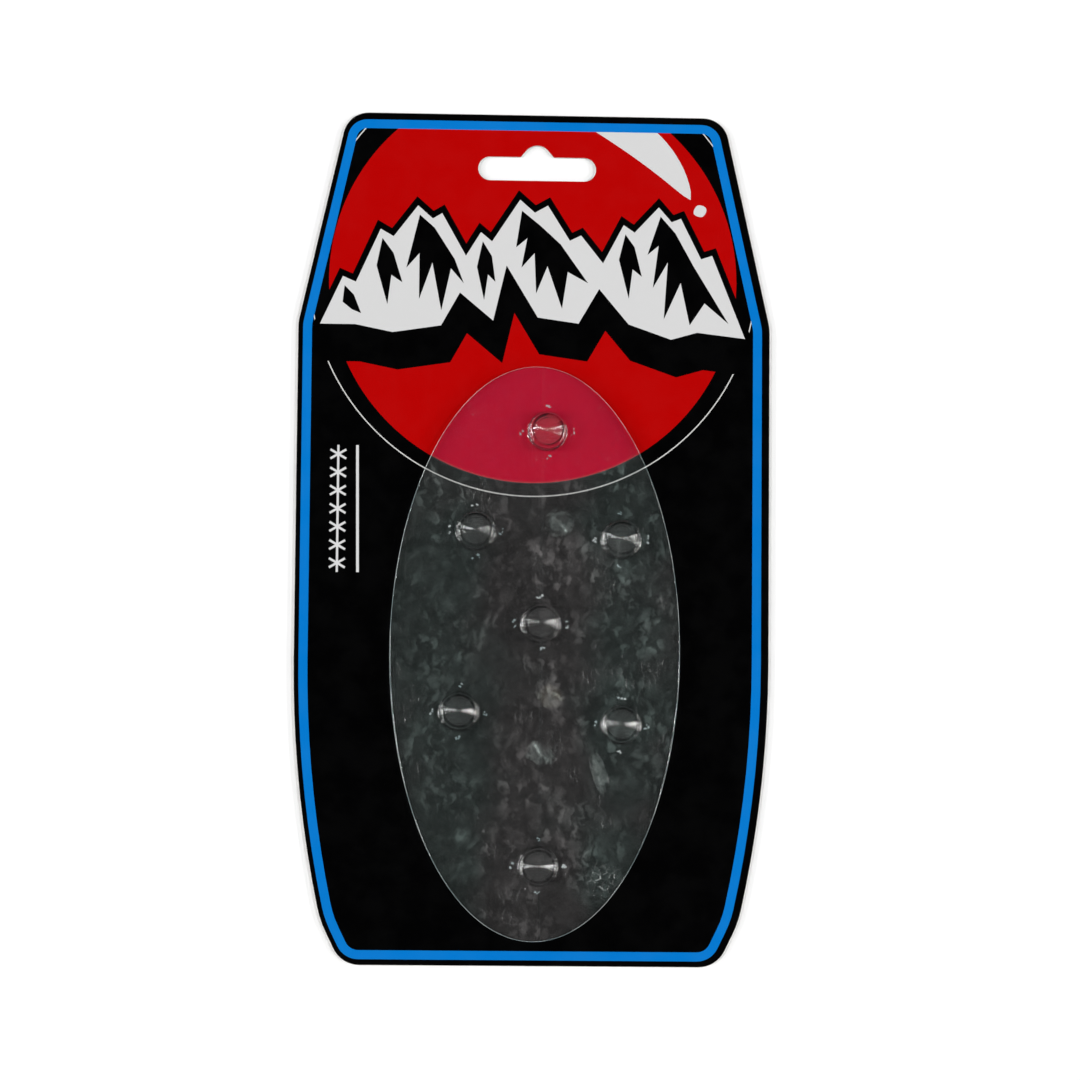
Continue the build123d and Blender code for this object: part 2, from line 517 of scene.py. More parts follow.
def cut_edge(name, thinnest, thickest):
    """The die-cut edge of a clear sheet: frosted, with fine upright drag lines."""
    s = Shader(name)
    where = s.place()
    lines = s.noise(s.stretched(where, (5.0, 5.0, 0.4)), 1.0, detail=4.0, rough=0.7)
    patches = s.rise(s.noise(where, 0.09), 0.35, 0.65)
    frost = s.principled({
        "Base Color": s.mix(patches, (0.30, 0.40, 0.41, 1), (0.80, 0.86, 0.85, 1)),
        "Roughness": s.ramp(lines, 0.3, 0.55), "Normal": s.bump(lines, strength=0.5, distance=0.03)})
    return s.surface(s.blend(s.ramp(lines, thinnest, thickest), s.clear((0.95, 0.97, 0.97, 1)), frost))


def bond_face():
    """A face pressed to its neighbour with nothing between, so light goes straight through."""
    s = Shader("bonded_joint")
    return s.surface(s.clear())


def veil_over(s, amount, hue, normal):
    """A thin milky veil, of a given amount, over clear film."""
    milk = s.add("BsdfDiffuse", {"Color": hue, "Roughness": 0.4, "Normal": normal}).outputs[0]
    return s.blend(amount, s.clear(), milk)


def gloss_over(s, shader, head_on, roughness, normal):
    """A clear gloss over another shader, stronger at a glance."""
    gloss = s.add("BsdfGlossy", {"Color": NO_TINT, "Roughness": roughness, "Normal": normal}).outputs[0]
    facing = s.add("LayerWeight", {"Blend": 0.5, "Normal": normal}).outputs["Facing"]
    amount = s.plus(head_on, (s.math("POWER", facing, 5.0), 0.30))
    return s.blend(amount, shader, gloss)


def pebbles(s, where, turn, scale, share_from, core, rim):
    """Slanted pebble-like patches: full strength within core and none beyond rim, each as strong
    as its own chance, with the weakest left out."""
    cells = s.add("TexVoronoi", {"Vector": s.stretched(where, (1.0, 0.55, 1.0), turn), "Scale": scale},
                  voronoi_dimensions="2D", feature="F1")
    chance = s.add("SeparateColor", {"Color": cells.outputs["Color"]}).outputs[0]
    return s.times(s.fall(cells.outputs["Distance"], core, rim), s.rise(chance, share_from, 1.0))


def adhesive_sheet():
    """Clear adhesive pressed on a liner: an even veil with paler pebble-like patches and streaks,
    greener at the flanks than in the middle, and reddened where it lies over the red sun, a
    painted glow of red light thrown up from the print beneath."""
    s = Shader("adhesive_wetout")
    where = s.place()
    warped = s.warped(where, 0.35, detail=4.0, push=6.0)
    crowd = s.ramp(s.noise(where, 0.05), 0.2, 1.0, 0.38, 0.62)
    broad = s.times(pebbles(s, warped, 0.6, 0.27, 0.45, 0.05, 0.62), crowd)
    large = s.times(pebbles(s, warped, 0.5, 0.45, 0.45, 0.10, 0.55), crowd)
    small = s.times(pebbles(s, warped, -0.3, 0.9, 0.5, 0.10, 0.45), crowd)
    smoke = s.rise(s.noise(where, 0.16, detail=6.0, rough=0.7, distortion=0.8), 0.35, 0.8)
    drawn = s.stretched(warped, (1.1, 0.16, 1.0), turn=0.35)
    streak = s.rise(s.noise(drawn, 1.0, detail=4.0, rough=0.65), 0.60, 0.85)
    speck = s.rise(s.noise(where, 1.5, detail=4.0, rough=0.7), 0.70, 0.80)
    patchy = s.plus(0.016, (large, 0.075), (small, 0.045), (broad, 0.055),
                    (smoke, 0.022), (streak, 0.050), (speck, 0.080))
    across = s.math("SUBTRACT", s.add("SeparateXYZ", {0: where}).outputs[0], PAD_CENTRE.x)
    middle = s.ramp(s.math("ABSOLUTE", across), 0.35, 0.0, 6.0, 22.0)
    warmth = s.rise(s.math("ADD", middle, s.noise(where, 0.035)), 0.45, 0.85)
    plain_hue = s.mix(warmth, (0.76, 0.95, 0.90, 1), (0.97, 0.92, 0.92, 1))
    # Over the red sun the patchy veil is thinned and a red veil added: a painted glow of red light from the
    # print.
    from_sun = s.distance(where, (*SUN_CENTRE, FILM_HIGH.z))
    over_red = s.fall(from_sun, SUN_RADIUS - 0.5, SUN_RADIUS + 0.5)
    veil = s.plus(s.times(patchy, s.ramp(over_red, 1.0, 0.6, 0.0, 1.0)), (over_red, 0.17))
    hue = s.mix(over_red, plain_hue, (1.0, 0.035, 0.17, 1))
    return s.surface(veil_over(s, veil, hue, s.bump(smoke, strength=0.2, distance=0.05)))


def liner_film():
    """Thin clear liner: almost invisible, but for the glints of its small wrinkles: real gloss,
    and at the crumpled patch a painted glint that whitens their ridges.
    """
    s = Shader("liner_film")
    where = s.place()
    warped = s.warped(where, 0.4, detail=2.0, push=2.0)
    folds = s.add("TexVoronoi", {"Vector": warped, "Scale": 0.55}, voronoi_dimensions="2D",
                  feature="DISTANCE_TO_EDGE").outputs["Distance"]
    crumple = s.rise(s.noise(where, 0.07, detail=4.0, rough=0.6), 0.55, 0.68)
    pinched = s.fall(s.distance(where, (*LINER_CRUMPLE, LINER_HIGH.z)), 1.0, 6.5)
    ridge = s.times(s.fall(folds, 0.0, 0.10), s.math("MAXIMUM", crumple, pinched))
    rub = s.noise(where, 0.5, detail=4.0, rough=0.7)
    normal = s.bump(s.plus(ridge, (rub, 0.15)), strength=1.0, distance=0.14)
    # Painted highlight: the ridges at the crumpled patch are whitened to stand for their glints.
    painted_wrinkle_glint = s.times(s.times(ridge, pinched), s.ramp(rub, 0.0, 0.5, 0.45, 0.62))
    veil = s.plus(painted_wrinkle_glint, (ridge, 0.03), (rub, 0.006))
    milky = veil_over(s, veil, (0.85, 0.90, 0.88, 1), normal)
    return s.surface(gloss_over(s, milky, 0.02, s.ramp(rub, 0.10, 0.22), normal))


def hot_melt(name, tint):
    """Hot-melt glue pressed flat: a cloudy smear with trapped bubbles and a glossy creased skin,
    whitened along its creases as a painted glint.
    """
    s = Shader(name)
    where = s.place()
    bubbles = s.add("TexVoronoi", {"Vector": where, "Scale": 1.5}, feature="SMOOTH_F1").outputs[0]
    cloud = s.noise(where, 0.35, detail=5.0, rough=0.65, distortion=0.8)
    normal = s.bump(s.math("ADD", bubbles, cloud), strength=0.35, distance=0.12)
    crease = s.attribute("crease")
    tinted = s.mix(s.rise(cloud, 0.4, 0.7), (*tint, 1), (0.82, 0.88, 0.84, 1))
    # Painted highlight: along the creases the glue turns near white and milkier, standing in for their
    # glints.
    hue = s.mix(crease, tinted, (0.88, 1.0, 0.96, 1))
    ragged = s.rise(s.plus(s.attribute("body"), (cloud, 1.4)), 0.80, 1.20)
    cloudy = s.times(s.ramp(cloud, 0.02, 0.10, 0.40, 0.62), ragged)
    painted_crease_glint = s.ramp(s.noise(where, 1.3), 0.10, 0.62, 0.38, 0.60)
    milky = veil_over(s, s.plus(cloudy, (crease, painted_crease_glint)), hue, normal)
    skin = gloss_over(s, milky, 0.06, s.ramp(bubbles, 0.12, 0.24), normal)
    return s.surface(s.blend(ragged, s.clear(), skin))


# ---------------------------- the printed card

Ink = namedtuple("Ink", "name base worn specular")
INKS = [
    Ink("ink_black", (0.0003, 0.0003, 0.0004, 1), (0.006, 0.006, 0.006, 1), 0.08),
    Ink("ink_pale_line", (0.62, 0.62, 0.60, 1), (0.40, 0.40, 0.40, 1), 0.2),
    Ink("ink_red", (0.425, 0.0006, 0.0006, 1), (0.50, 0.006, 0.006, 1), 0.10),
    Ink("ink_white", (0.630, 0.630, 0.630, 1), (0.54, 0.54, 0.53, 1), 0.2),
    Ink("ink_blue", (0.0008, 0.170, 0.560, 1), (0.03, 0.24, 0.60, 1), 0.12),
]
BLACK, PALE, RED, WHITE, BLUE, EDGE, BACK = range(7)

# How far the die's cut leaves the card's edges eased.
CARD_EASING = 0.06

# A column of snow crystals and the bar beside it.
CRYSTAL_COUNT = 7
CRYSTAL_X = -52.3
FIRST_CRYSTAL_Y = 21.6
CRYSTAL_PITCH = 4.87
CRYSTAL_SIZE = 4.9
CRYSTAL_ARM_WIDTH = 0.6
BAR_CENTRE = Vector((-47.0, 7.0))
BAR_TURN = math.pi / 2 + 0.013
BAR_LENGTH = 34.1
BAR_WIDTH = 0.75

# Gloss marks on the sun: start and end turn in degrees, mid radius and greatest width.
GLINTS = [(28.0, 84.0, 48.0, 9.5), (21.5, 25.5, 49.0, 3.6)]
GLINT_BLUNTNESS = 0.7

# A plain mountain range, clockwise from its left foot, and the shaded flanks of its peaks.
RANGE = [
    (-57.5, 57.5), (-51.5, 70.5), (-48, 69), (-41.5, 83.5), (-38, 81.5), (-31.5, 90), (-27.5, 86.5),
    (-25, 88), (-18.5, 76.5), (-14.5, 83), (-11.5, 80.5), (-4, 92), (0, 88.5), (3.5, 90.5),
    (9.5, 81), (12.5, 82.5), (18.5, 75), (24, 85.5), (27, 83.5), (33.5, 90.5), (37, 86.5),
    (39.5, 87.5), (45, 76.5), (48, 77.5), (57, 55), (44, 56.5), (37, 54.5), (25.5, 58.5),
    (17.5, 68), (12, 58.5), (1, 60), (-7.5, 74), (-11, 59), (-20, 66.5), (-25, 57.5),
    (-38, 55.5), (-48, 57.5),
]
SHADES = [
    [(-31, 87.5), (-27, 84), (-21.5, 75.5), (-19, 69), (-22.5, 73), (-25, 61.5),
     (-27.5, 74.5), (-31, 64.5), (-31, 77), (-34.5, 73)],
    [(-3.5, 89), (1.5, 85), (7, 80), (14.5, 69.5), (9, 72.5), (7.5, 62.5), (3.5, 74),
     (0.5, 66.5), (0, 77.5), (-3.5, 73.5), (-2, 81.5), (-5, 79)],
    [(34, 88), (38, 83.5), (43, 74.5), (52.5, 59), (46, 64.5), (42, 58.5), (39.5, 70),
     (35, 60), (36, 75.5), (32, 68.5), (33.5, 80), (30.5, 77.5)],
    [(-41, 81), (-38, 77), (-35.5, 69), (-38.5, 71), (-39.5, 63), (-42.5, 73.5)],
    [(24.5, 83), (27, 79.5), (29, 71.5), (26.5, 73.5), (25.5, 65.5), (22.8, 76)],
    [(-14, 80.5), (-11.5, 76.5), (-10.5, 69.5), (-12.5, 71.5), (-13.5, 64.5), (-15.5, 73.5)],
    [(-51, 68), (-48.5, 65.5), (-46.5, 60.5), (-49, 61.5), (-51.5, 63.5)],
]


def bar(centre, turn, length, width):
    """A straight bar as an outline, centred on a point."""
    along = Vector((math.cos(turn), math.sin(turn))) * length / 2
    across = Vector((-math.sin(turn), math.cos(turn))) * width / 2
    near, far = centre - along, centre + along
    return [near - across, far - across, far + across, near + across]


def snow_crystal(centre):
    """A six-armed crystal made of three bars."""
    turns = (math.radians(30 + 60 * i) for i in range(3))
    return [bar(centre, turn, CRYSTAL_SIZE, CRYSTAL_ARM_WIDTH) for turn in turns]


def glint(start, end, radius, width, steps=24):
    """A curved mark round the sun, pointed at both ends."""
    outer, inner = [], []
    for i in range(steps + 1):
        share = i / steps
        turn = math.radians(start + (end - start) * share)
        out = Vector((math.cos(turn), math.sin(turn)))
        half = width / 2 * math.sin(math.pi * share) ** GLINT_BLUNTNESS
        outer.append(SUN_CENTRE + out * (radius + half))
        inner.append(SUN_CENTRE + out * (radius - half))
    return outer + inner[-2:0:-1]


def swept(loop, offset):
    """Outlines that together cover the track of an outline moved along a straight line."""
    least_area = 1e-3
    track = [loop, shifted(loop, offset)]
    for a, b in zip(loop, loop[1:] + loop[:1]):
        side = [a, b, b + offset, a + offset]
        area = sum(p.x * q.y - q.x * p.y for p, q in zip(side, side[1:] + side[:1]))
        if abs(area) > least_area:
            track.append(side)
    return track


def card_layers(card_edge):
    """The outline inside the border line, and the print in the order the inks go down: (ink
    number, outlines that it fills, whether it is kept to the inside of the border line)."""
    border_outer = shifted(inset(card_edge, PRINT_MARGIN), PRINT_SHIFT)
    border_inner = shifted(inset(card_edge, PRINT_MARGIN + BORDER_WIDTH), PRINT_SHIFT)
    peaks = shifted([Vector(p) for p in RANGE][::-1], RANGE_SHIFT)
    marks = []
    for i in range(CRYSTAL_COUNT):
        marks += snow_crystal(Vector((CRYSTAL_X, FIRST_CRYSTAL_Y - CRYSTAL_PITCH * i)))
    marks += [glint(*row) for row in GLINTS]
    marks.append(bar(BAR_CENTRE, BAR_TURN, BAR_LENGTH, BAR_WIDTH))
    return border_inner, [
        (PALE, [circle(RING_CENTRE, RING_RADIUS + RING_WIDTH / 2)], True),
        (BLACK, [circle(RING_CENTRE, RING_RADIUS - RING_WIDTH / 2)], True),
        (RED, [circle(SUN_CENTRE, SUN_RADIUS)], True),
        (BLACK, swept(inset(peaks, -PEAK_OUTLINE), PEAK_DROP), True),
        (WHITE, [peaks], True),
        (BLACK, [shifted([Vector(p) for p in shade], RANGE_SHIFT) for shade in SHADES], True),
        (WHITE, marks, True),
        (BLUE, [border_outer], False),
    ]


def make_card():
    """The printed, die-cut card."""
    loops = node_loops("header_card")
    clip, layers = card_layers(inset(loops[0], CARD_EASING))
    outlines = [clip] + [outline for _, group, _ in layers for outline in group]

    def pick(centres):
        numbers = np.full(len(centres), BLACK)
        clipped = inside(centres, clip)
        for number, group, clip_it in layers:
            hit = np.zeros(len(centres), bool)
            for outline in group:
                hit |= inside(centres, outline)
            hit &= clipped if clip_it else ~clipped
            numbers[hit] = number
        return numbers

    low, high = CARD_LOW.z, CARD_HIGH.z
    profile = [(CARD_EASING, low), (0.0, low + CARD_EASING), (0.0, high - CARD_EASING), (CARD_EASING, high)]
    materials = [ink(*row) for row in INKS] + [board_edge(), board_back()]
    card = make_slab("printed_card", loops, profile, materials, outlines, pick,
                     side_materials=(EDGE,), bottom_material=BACK)
    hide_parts("header_card")
    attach(card, "card")


# ---------------------------- the pad

# A stud: the land, fillet and taper of its foot, its rounded rim, the dish in its top with
# fine turned rings, and the pip in the middle.
STUD_LAND = 0.08
STUD_FILLET = 0.6
STUD_TAPER = 0.75
STUD_ROUNDING = 0.8
STUD_DISH = 0.25
STUD_RINGS = 6
STUD_RING_DEPTH = 0.092
RING_SAMPLES = 12
RING_FADE = 0.3
RING_SHARE_AT_MIDDLE = 0.86
PIP_RADIUS = 0.42
PIP_HEIGHT = 0.17

# Beads of cement round a stud's foot: how many at each quarter, their reach from the stud's
# middle, how far they stray, and the least and most of their half sizes.
BEADS_PER_QUARTER = 3
BEAD_REACH = 7.0
BEAD_STRAY = 0.5
BEAD_STRAY_DEGREES = 9
BEAD_LENGTHS = (0.15, 0.50)
BEAD_WIDTHS = (0.14, 0.34)
BEAD_HEIGHTS = (0.12, 0.24)
BEAD_LIFT = 0.004
BEAD_LUMPINESS = 0.2
BEAD_LUMP_SCALE = 1.6

# Each piece's materials by number.
STUD_PLASTIC, STUD_JOINT, STUD_BEADS = range(3)
PLATE_PLASTIC, PLATE_BOND, PLATE_EDGE = range(3)
FILM_FACE, FILM_BOND = range(2)
LINER_FACE, LINER_EDGE, LINER_BOND = range(3)
GLUE_SKIN, GLUE_BOND = range(2)

# The plate's rounded upper rim and eased lower one, and how many of its rings of side faces,
# from the bottom, show the cut edge.
PLATE_ROUNDING = 0.4
PLATE_EASING = 0.08
PLATE_CUT_RINGS = 6

# How far the adhesive's edge is drawn in under its faces and at its middle, and the liner's.
FILM_INSET = 0.15
FILM_WAIST_INSET = 0.08
LINER_INSET = 0.02


def stud_spots():
    """Each stud's centre and foot radius, from its CAD box."""
    spots = {}
    for node in STUD_NODES:
        low, high = box_mm(node)
        spots[node] = ((low + high) / 2, (high.x - low.x) / 2)
    return spots


def stud_section(foot_radius, height):
    """A stud's half section, from the rim of its foot to the middle of its top."""
    neck, rim_radius = foot_radius - STUD_FILLET, foot_radius - STUD_TAPER
    side_low, side_high = STUD_LAND + STUD_FILLET, height - STUD_ROUNDING
    section = [(foot_radius, 0.0), (foot_radius, STUD_LAND)]
    for turn in quarter_turn(9)[1:]:
        section.append((neck + STUD_FILLET * (1 - math.sin(turn)),
                        STUD_LAND + STUD_FILLET * (1 - math.cos(turn))))
    for share in (0.25, 0.5, 0.75):
        section.append((neck + (rim_radius - neck) * share, side_low + (side_high - side_low) * share))
    for turn in quarter_turn(12):
        section.append((rim_radius - STUD_ROUNDING * (1 - math.cos(turn)),
                        height - STUD_ROUNDING * (1 - math.sin(turn))))
    crown = rim_radius - STUD_ROUNDING
    samples = STUD_RINGS * RING_SAMPLES
    for i in range(1, samples):
        outward = 1 - i / samples
        radius = PIP_RADIUS + (crown - PIP_RADIUS) * outward
        fade = min(1.0, (crown - radius) / RING_FADE)
        wave = 0.5 * (1 - math.cos(2 * math.pi * STUD_RINGS * outward))
        outer_share = (1 - RING_SHARE_AT_MIDDLE) * (radius / crown) ** 2
        depth = STUD_RING_DEPTH * fade * (RING_SHARE_AT_MIDDLE + outer_share)
        section.append((radius, height - STUD_DISH * (1 - radius / crown) - depth * wave))
    base = height - STUD_DISH * (1 - PIP_RADIUS / crown)
    for turn in quarter_turn(5)[:-1]:
        section.append((PIP_RADIUS * math.cos(turn), base + PIP_HEIGHT * math.sin(turn)))
    section.append((0.0, base + PIP_HEIGHT))
    return section


def add_beads(mesh_data, centre, base_z, seed):
    """Small beads of squeezed-out cement on the plate, left, right, above and below a stud."""
    dice = random.Random(seed)
    beads = bmesh.new()
    for number in range(4 * BEADS_PER_QUARTER):
        quarter = number // BEADS_PER_QUARTER
        turn = math.radians(90 * quarter + dice.uniform(-BEAD_STRAY_DEGREES, BEAD_STRAY_DEGREES))
        reach = BEAD_REACH + dice.uniform(-BEAD_STRAY, BEAD_STRAY)
        along = Vector((math.cos(turn), math.sin(turn), 0))
        spot = Vector((centre.x, centre.y, base_z + BEAD_LIFT)) + along * reach
        made = bmesh.ops.create_uvsphere(beads, u_segments=16, v_segments=10, radius=1.0)
        size = Vector([dice.uniform(*limits) for limits in (BEAD_LENGTHS, BEAD_WIDTHS, BEAD_HEIGHTS)])
        spin = Euler((0, 0, dice.uniform(0, math.pi))).to_matrix()
        for vert in made["verts"]:
            lump = 1 + BEAD_LUMPINESS * noise.noise(vert.co * BEAD_LUMP_SCALE + spot)
            dome = Vector((vert.co.x, vert.co.y, max(vert.co.z, 0.0)))
            vert.co = (spot + spin @ (dome * size * lump)) * MM
    for face in beads.faces:
        face.smooth = True
        face.material_index = STUD_BEADS
    bead_mesh = bpy.data.meshes.new("beads")
    beads.to_mesh(bead_mesh)
    beads.free()
    builder = bmesh.new()
    builder.from_mesh(mesh_data)
    builder.from_mesh(bead_mesh)
    builder.to_mesh(mesh_data)
    builder.free()
    bpy.data.meshes.remove(bead_mesh)


def make_studs(plastic):
    """The seven clear studs."""
    materials = [plastic, stud_joint(), cut_edge("cement_beads", thinnest=0.10, thickest=0.55)]
    for node, (centre, foot_radius) in stud_spots().items():
        low, high = box_mm(node)
        section = stud_section(foot_radius, high.z - low.z)
        piece = make_lathed(f"clear_{node}", centre, low.z, section, materials, STUD_JOINT)
        add_beads(piece.data, centre, low.z, node)
        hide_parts(node)
        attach(piece, "pad")


def make_plate(plastic, bond, edge):
    """The clear plate, with the studs' bonded joints marked out on its top."""
    joints = [circle(centre, radius, 128) for centre, radius in stud_spots().values()]

    def pick(centres):
        numbers = np.full(len(centres), PLATE_PLASTIC)
        for joint in joints:
            numbers[inside(centres, joint)] = PLATE_BOND
        return numbers

    low, high = PLATE_LOW.z, PLATE_HIGH.z
    profile = [(PLATE_EASING, low), (0.0, low + PLATE_EASING)]
    for turn in quarter_turn(8):
        profile.append((PLATE_ROUNDING * (1 - math.cos(turn)),
                        high - PLATE_ROUNDING * (1 - math.sin(turn))))
    sides = (PLATE_EDGE,) * PLATE_CUT_RINGS + (PLATE_PLASTIC,)
    plate = make_slab("clear_plate", [pad_oval()], profile, [plastic, bond, edge], joints, pick,
                      side_materials=sides, pitch=4.0)
    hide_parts("pad_plate")
    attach(plate, "pad")


def make_adhesive(bond):
    """The adhesive film under the plate."""
    low, high = FILM_LOW.z + FILM_GAP, FILM_HIGH.z - FILM_GAP
    profile = [(FILM_INSET, low), (FILM_WAIST_INSET, (low + high) / 2), (FILM_INSET, high)]
    materials = [adhesive_sheet(), bond]
    sheet = make_slab("adhesive_sheet", [pad_oval()], profile, materials,
                      side_materials=(FILM_FACE,), bottom_material=FILM_BOND, pitch=3.0)
    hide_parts("adhesive_film")
    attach(sheet, "pad")


def make_liners(bond):
    """The two halves of the release liner."""
    materials = [liner_film(), cut_edge("liner_cut_edge", thinnest=0.04, thickest=0.20), bond]
    low, high = LINER_LOW.z + FILM_GAP / 2, LINER_HIGH.z - FILM_GAP / 2
    profile = [(LINER_INSET, low), (0.0, (low + high) / 2), (LINER_INSET, high)]
    for name, side in (("left", -1), ("right", 1)):
        half_low, half_high = box_mm(f"liner_{name}")
        cut_x = half_high.x if side < 0 else half_low.x
        piece = make_slab(f"liner_film_{name}", [half_oval(side, cut_x)], profile, materials,
                          side_materials=(LINER_EDGE,), bottom_material=LINER_BOND)
        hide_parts(f"liner_{name}")
        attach(piece, f"liner_half_{name}")


# Creases in the skin of each glue spot: start, middle and end points from the spot's own
# middle, and strength.
GLUE_CREASES = {
    "glue_spot_top": [
        ((0.4, -0.4), (1.2, -1.2), (2.0, -2.8), 0.9),
        ((-2.4, 2.4), (-1.4, 0.6), (-2.4, -1.4), 0.3),
    ],
    "glue_spot_middle": [
        ((-0.6, 3.8), (-0.8, 2.2), (-0.3, 0.9), 0.8),
        ((0.0, 0.9), (2.3, 0.5), (3.2, -1.3), 1.0),
    ],
    "glue_spot_low": [
        ((-1.9, 3.2), (-0.8, 1.8), (0.2, -0.4), 1.0),
        ((0.6, -0.2), (2.3, -1.7), (3.4, -3.2), 0.5),
    ],
    "glue_spot_side": [
        ((-2.0, 5.5), (-0.8, 1.5), (1.0, -5.0), 0.3),
        ((-1.0, 4.0), (0.2, 0.5), (1.6, -3.5), 0.2),
    ],
}
CREASE_STEPS = 24
CREASE_HEIGHT = 0.10
CREASE_WIDTH = 0.42

# How far the skin between creases lies under them, and its ripple, as shares of their height.
SKIN_DROP = 1.25
SKIN_RIPPLE = 0.25
RIPPLE_SCALE = 1.1
RIPPLE_LAYER = 3.0

# The glue's tints: one spot is browner than the rest.
GLUE_TINTS = {"glue_spot_middle": (0.78, 0.66, 0.48)}
PLAIN_GLUE_TINT = (0.70, 0.86, 0.82)

# A glue spot's edge, as (inset, height over the card) from the bottom up, then the inset of its
# top and how far that lies under the liner, and the size and unevenness of its lumpy outline.
GLUE_EDGE = [(0.10, 0.002), (0.0, 0.008), (0.10, 0.014)]
GLUE_TOP_INSET = 0.5
GLUE_TOP_GAP = 0.005
GLUE_SIZE = 0.86
GLUE_UNEVENNESS = 0.13
GLUE_LUMP_SCALE = 1.4
GLUE_LUMP_STEP = 7.3


def crease_strength(middle, creases):
    """A function of x and y to how strong the nearest crease is there, from 0 to 1. A crease
    fades towards both of its ends, and flickers a little on the way."""
    track = []
    for start, bend, end, most in creases:
        for i in range(CREASE_STEPS + 1):
            share = i / CREASE_STEPS
            point = [
                a * (1 - share) ** 2 + 2 * b * share * (1 - share) + c * share ** 2
                for a, b, c in zip(start, bend, end)
            ]
            fade = math.sin(math.pi * (0.06 + 0.88 * share))
            flicker = 0.7 + 0.3 * math.sin(9 * share)
            track.append((middle.x + point[0], middle.y + point[1], most * fade * flicker))

    def strength_at(x, y):
        return max(strength * math.exp(-((x - a) ** 2 + (y - b) ** 2) / CREASE_WIDTH ** 2)
                   for a, b, strength in track)

    return strength_at


def glue_attributes(mesh_data, middle, half_size, strength_at):
    """Stores how far inside its outline each point of a spot is, and how creased it is."""
    body = mesh_data.attributes.new("body", "FLOAT", "POINT")
    crease = mesh_data.attributes.new("crease", "FLOAT", "POINT")
    for vert, inner, creased in zip(mesh_data.vertices, body.data, crease.data):
        x, y = vert.co.x / MM, vert.co.y / MM
        inner.value = 1 - math.hypot((x - middle.x) / half_size.x, (y - middle.y) / half_size.y)
        creased.value = strength_at(x, y)


def make_glue(bond):
    """The pressed glue spots, with lumpy outlines and creased skins."""
    for number, node in enumerate(GLUE_NODES):
        glue = hot_melt(f"hot_melt_{number}", GLUE_TINTS.get(node, PLAIN_GLUE_TINT))
        loop = node_loops(node)[0]
        low, high = box_mm(node)
        middle = ((low + high) / 2).xy
        lumpy = []
        for point in loop:
            away = point - middle
            lump = noise.noise(Vector((*(away.normalized() * GLUE_LUMP_SCALE), number * GLUE_LUMP_STEP)))
            lumpy.append(middle + away * (GLUE_SIZE + GLUE_UNEVENNESS * lump))
        profile = [(depth, low.z + rise) for depth, rise in GLUE_EDGE]
        profile.append((GLUE_TOP_INSET, high.z - GLUE_TOP_GAP))
        strength_at = crease_strength(middle, GLUE_CREASES[node])

        def relief(x, y):
            ripple = SKIN_RIPPLE * noise.noise(Vector((x * RIPPLE_SCALE, y * RIPPLE_SCALE, RIPPLE_LAYER)))
            return CREASE_HEIGHT * (strength_at(x, y) + ripple - SKIN_DROP)

        piece = make_slab(f"hot_melt_{node}", [lumpy], profile, [glue, bond],
                          side_materials=(GLUE_BOND, GLUE_BOND, GLUE_SKIN), bottom_material=GLUE_BOND,
                          pitch=0.13, relief=relief)
        glue_attributes(piece.data, middle, (high - low) / 2, strength_at)
        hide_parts(node)
        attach(piece, "card")


# ---------------------------- stage, light and camera

# The floor's radius and its gap under the card, in metres.
FLOOR_RADIUS = 2.3
FLOOR_GAP = 0.0002

# The surround's brightness below and overhead, the upward slopes between which it fades, as
# sines, and the share of it that glossy reflections see.
WORLD_BOTTOM = 1.0
WORLD_TOP = 0.012
WORLD_FADE = (0.10, 0.75)
WORLD_GLOSS = 0.14


def make_floor():
    """A plain pale floor under the card."""
    builder = bmesh.new()
    bmesh.ops.create_circle(builder, cap_ends=True, radius=FLOOR_RADIUS, segments=96)
    bmesh.ops.translate(builder, vec=(0, 0, -FLOOR_GAP), verts=builder.verts)
    mesh_data = bpy.data.meshes.new("floor")
    builder.to_mesh(mesh_data)
    builder.free()
    s = Shader("pale_floor")
    where = s.place()
    tone = s.mix(s.noise(where, 0.01), (0.95, 0.95, 0.95, 1), (0.98, 0.98, 0.98, 1))
    matt = s.principled({"Base Color": tone, "Roughness": 0.9, "Specular IOR Level": 0.0})
    mesh_data.materials.append(s.surface(matt))
    floor = bpy.data.objects.new("floor", mesh_data)
    floor.visible_glossy = False
    bpy.context.scene.collection.objects.link(floor)


def make_world():
    """A soft white surround, dim overhead so that it doesn't veil the black print."""
    s = Shader("studio", "World")
    upward = s.add("SeparateXYZ", {0: s.add("TexCoord").outputs["Generated"]}).outputs["Z"]
    glossy_ray = s.add("LightPath").outputs["Is Glossy Ray"]
    strength = s.times(s.ramp(upward, WORLD_BOTTOM, WORLD_TOP, *WORLD_FADE),
                       s.ramp(glossy_ray, 1.0, WORLD_GLOSS, 0.0, 1.0))
    glow = s.add("Background", {"Color": NO_TINT, "Strength": strength}).outputs[0]
    bpy.context.scene.world = s.surface(glow)


# Distant key lamps: azimuth from +X and elevation, both in degrees, and the share of white
# that each gives on the floor. The width is the lamp's own, in degrees.
KEY_LAMPS = {"key_left": (184.0, 46.0, 0.29), "key_right": (-4.0, 46.0, 0.29)}
KEY_WIDTH = 14.0

# Wide low strips beyond the left and right of the card, in metres, and their power in watts.
STRIP_REACH = 2.4
STRIP_Y = -0.10
STRIP_RISE = 0.95
STRIP_SIZE = (3.4, 0.24)
STRIP_POWER = 38.0


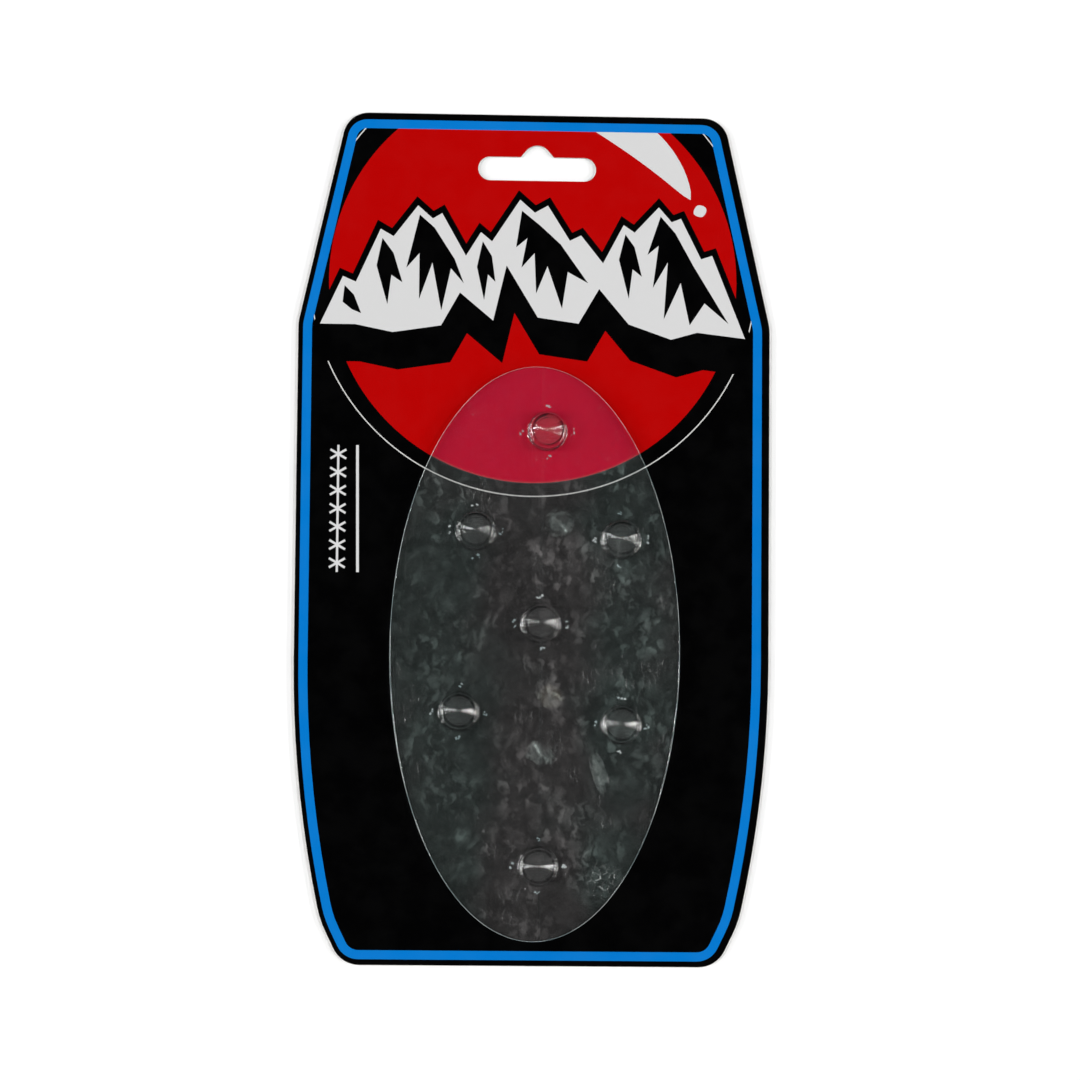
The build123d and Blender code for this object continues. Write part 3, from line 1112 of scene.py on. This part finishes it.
def make_lights():
    """Soft lamps at the left and right, which leave the zenith dark."""
    for name, (azimuth, elevation, share) in KEY_LAMPS.items():
        around, up = math.radians(azimuth), math.radians(elevation)
        lamp = bpy.data.lights.new(name, "SUN")
        lamp.energy = share * math.pi / math.sin(up)
        lamp.angle = math.radians(KEY_WIDTH)
        out = math.cos(up)
        place_lamp(lamp, Vector((out * math.cos(around), out * math.sin(around), math.sin(up))))
    for name, side in (("strip_left", -1), ("strip_right", 1)):
        lamp = bpy.data.lights.new(name, "AREA")
        lamp.shape = "RECTANGLE"
        lamp.size, lamp.size_y = STRIP_SIZE
        lamp.energy = STRIP_POWER
        place_lamp(lamp, Vector((side * STRIP_REACH, STRIP_Y, STRIP_RISE)))


def place_lamp(lamp, place):
    """Puts a lamp in the scene, aimed at the card and unseen by the camera."""
    holder = bpy.data.objects.new(lamp.name, lamp)
    holder.location = place
    holder.rotation_euler = (-place).to_track_quat("-Z", "Y").to_euler()
    holder.visible_camera = False
    bpy.context.scene.collection.objects.link(holder)


# Where the card's middle lies from the camera, in metres across, up and away, how the card is
# turned to the camera, in degrees, and the lens and sensor, in millimetres.
CAMERA_OFFSET = (-0.00194, 0.00082)
CAMERA_DISTANCE = 0.9478
CARD_TILTS = (-4.57, 2.52, -0.70)
CAMERA_LENS = 117.9
CAMERA_SENSOR = 36.0


def make_camera():
    """The camera looks down on the card, a few degrees off square."""
    camera = bpy.data.cameras.new("camera")
    camera.lens = CAMERA_LENS
    camera.sensor_width = CAMERA_SENSOR
    camera.clip_start, camera.clip_end = 0.05, 50.0
    holder = bpy.data.objects.new("camera", camera)
    turn = Euler([math.radians(t) for t in CARD_TILTS]).to_matrix().transposed()
    holder.location = turn @ -Vector((*CAMERA_OFFSET, -CAMERA_DISTANCE))
    holder.rotation_euler = turn.to_euler()
    bpy.context.scene.collection.objects.link(holder)
    bpy.context.scene.camera = holder


def set_look():
    """Plain colour, and enough bounces for light to pass the stack of clear layers."""
    scene = bpy.context.scene
    scene.view_settings.view_transform = "Standard"
    scene.cycles.max_bounces = 24
    scene.cycles.transmission_bounces = 20
    scene.cycles.transparent_max_bounces = 40
    scene.cycles.caustics_reflective = False
    scene.cycles.caustics_refractive = False


make_card()
bond = bond_face()
make_plate(clear_plastic("clear_sheet", edge_light=0.95, coat=0.0, bloom=0.0), bond,
           cut_edge("plate_cut_edge", thinnest=0.35, thickest=0.75))
make_studs(clear_plastic("clear_studs", edge_light=0.15, coat=0.5, bloom=0.018))
make_adhesive(bond)
make_liners(bond)
make_glue(bond)
make_floor()
make_world()
make_lights()
make_camera()
set_look()
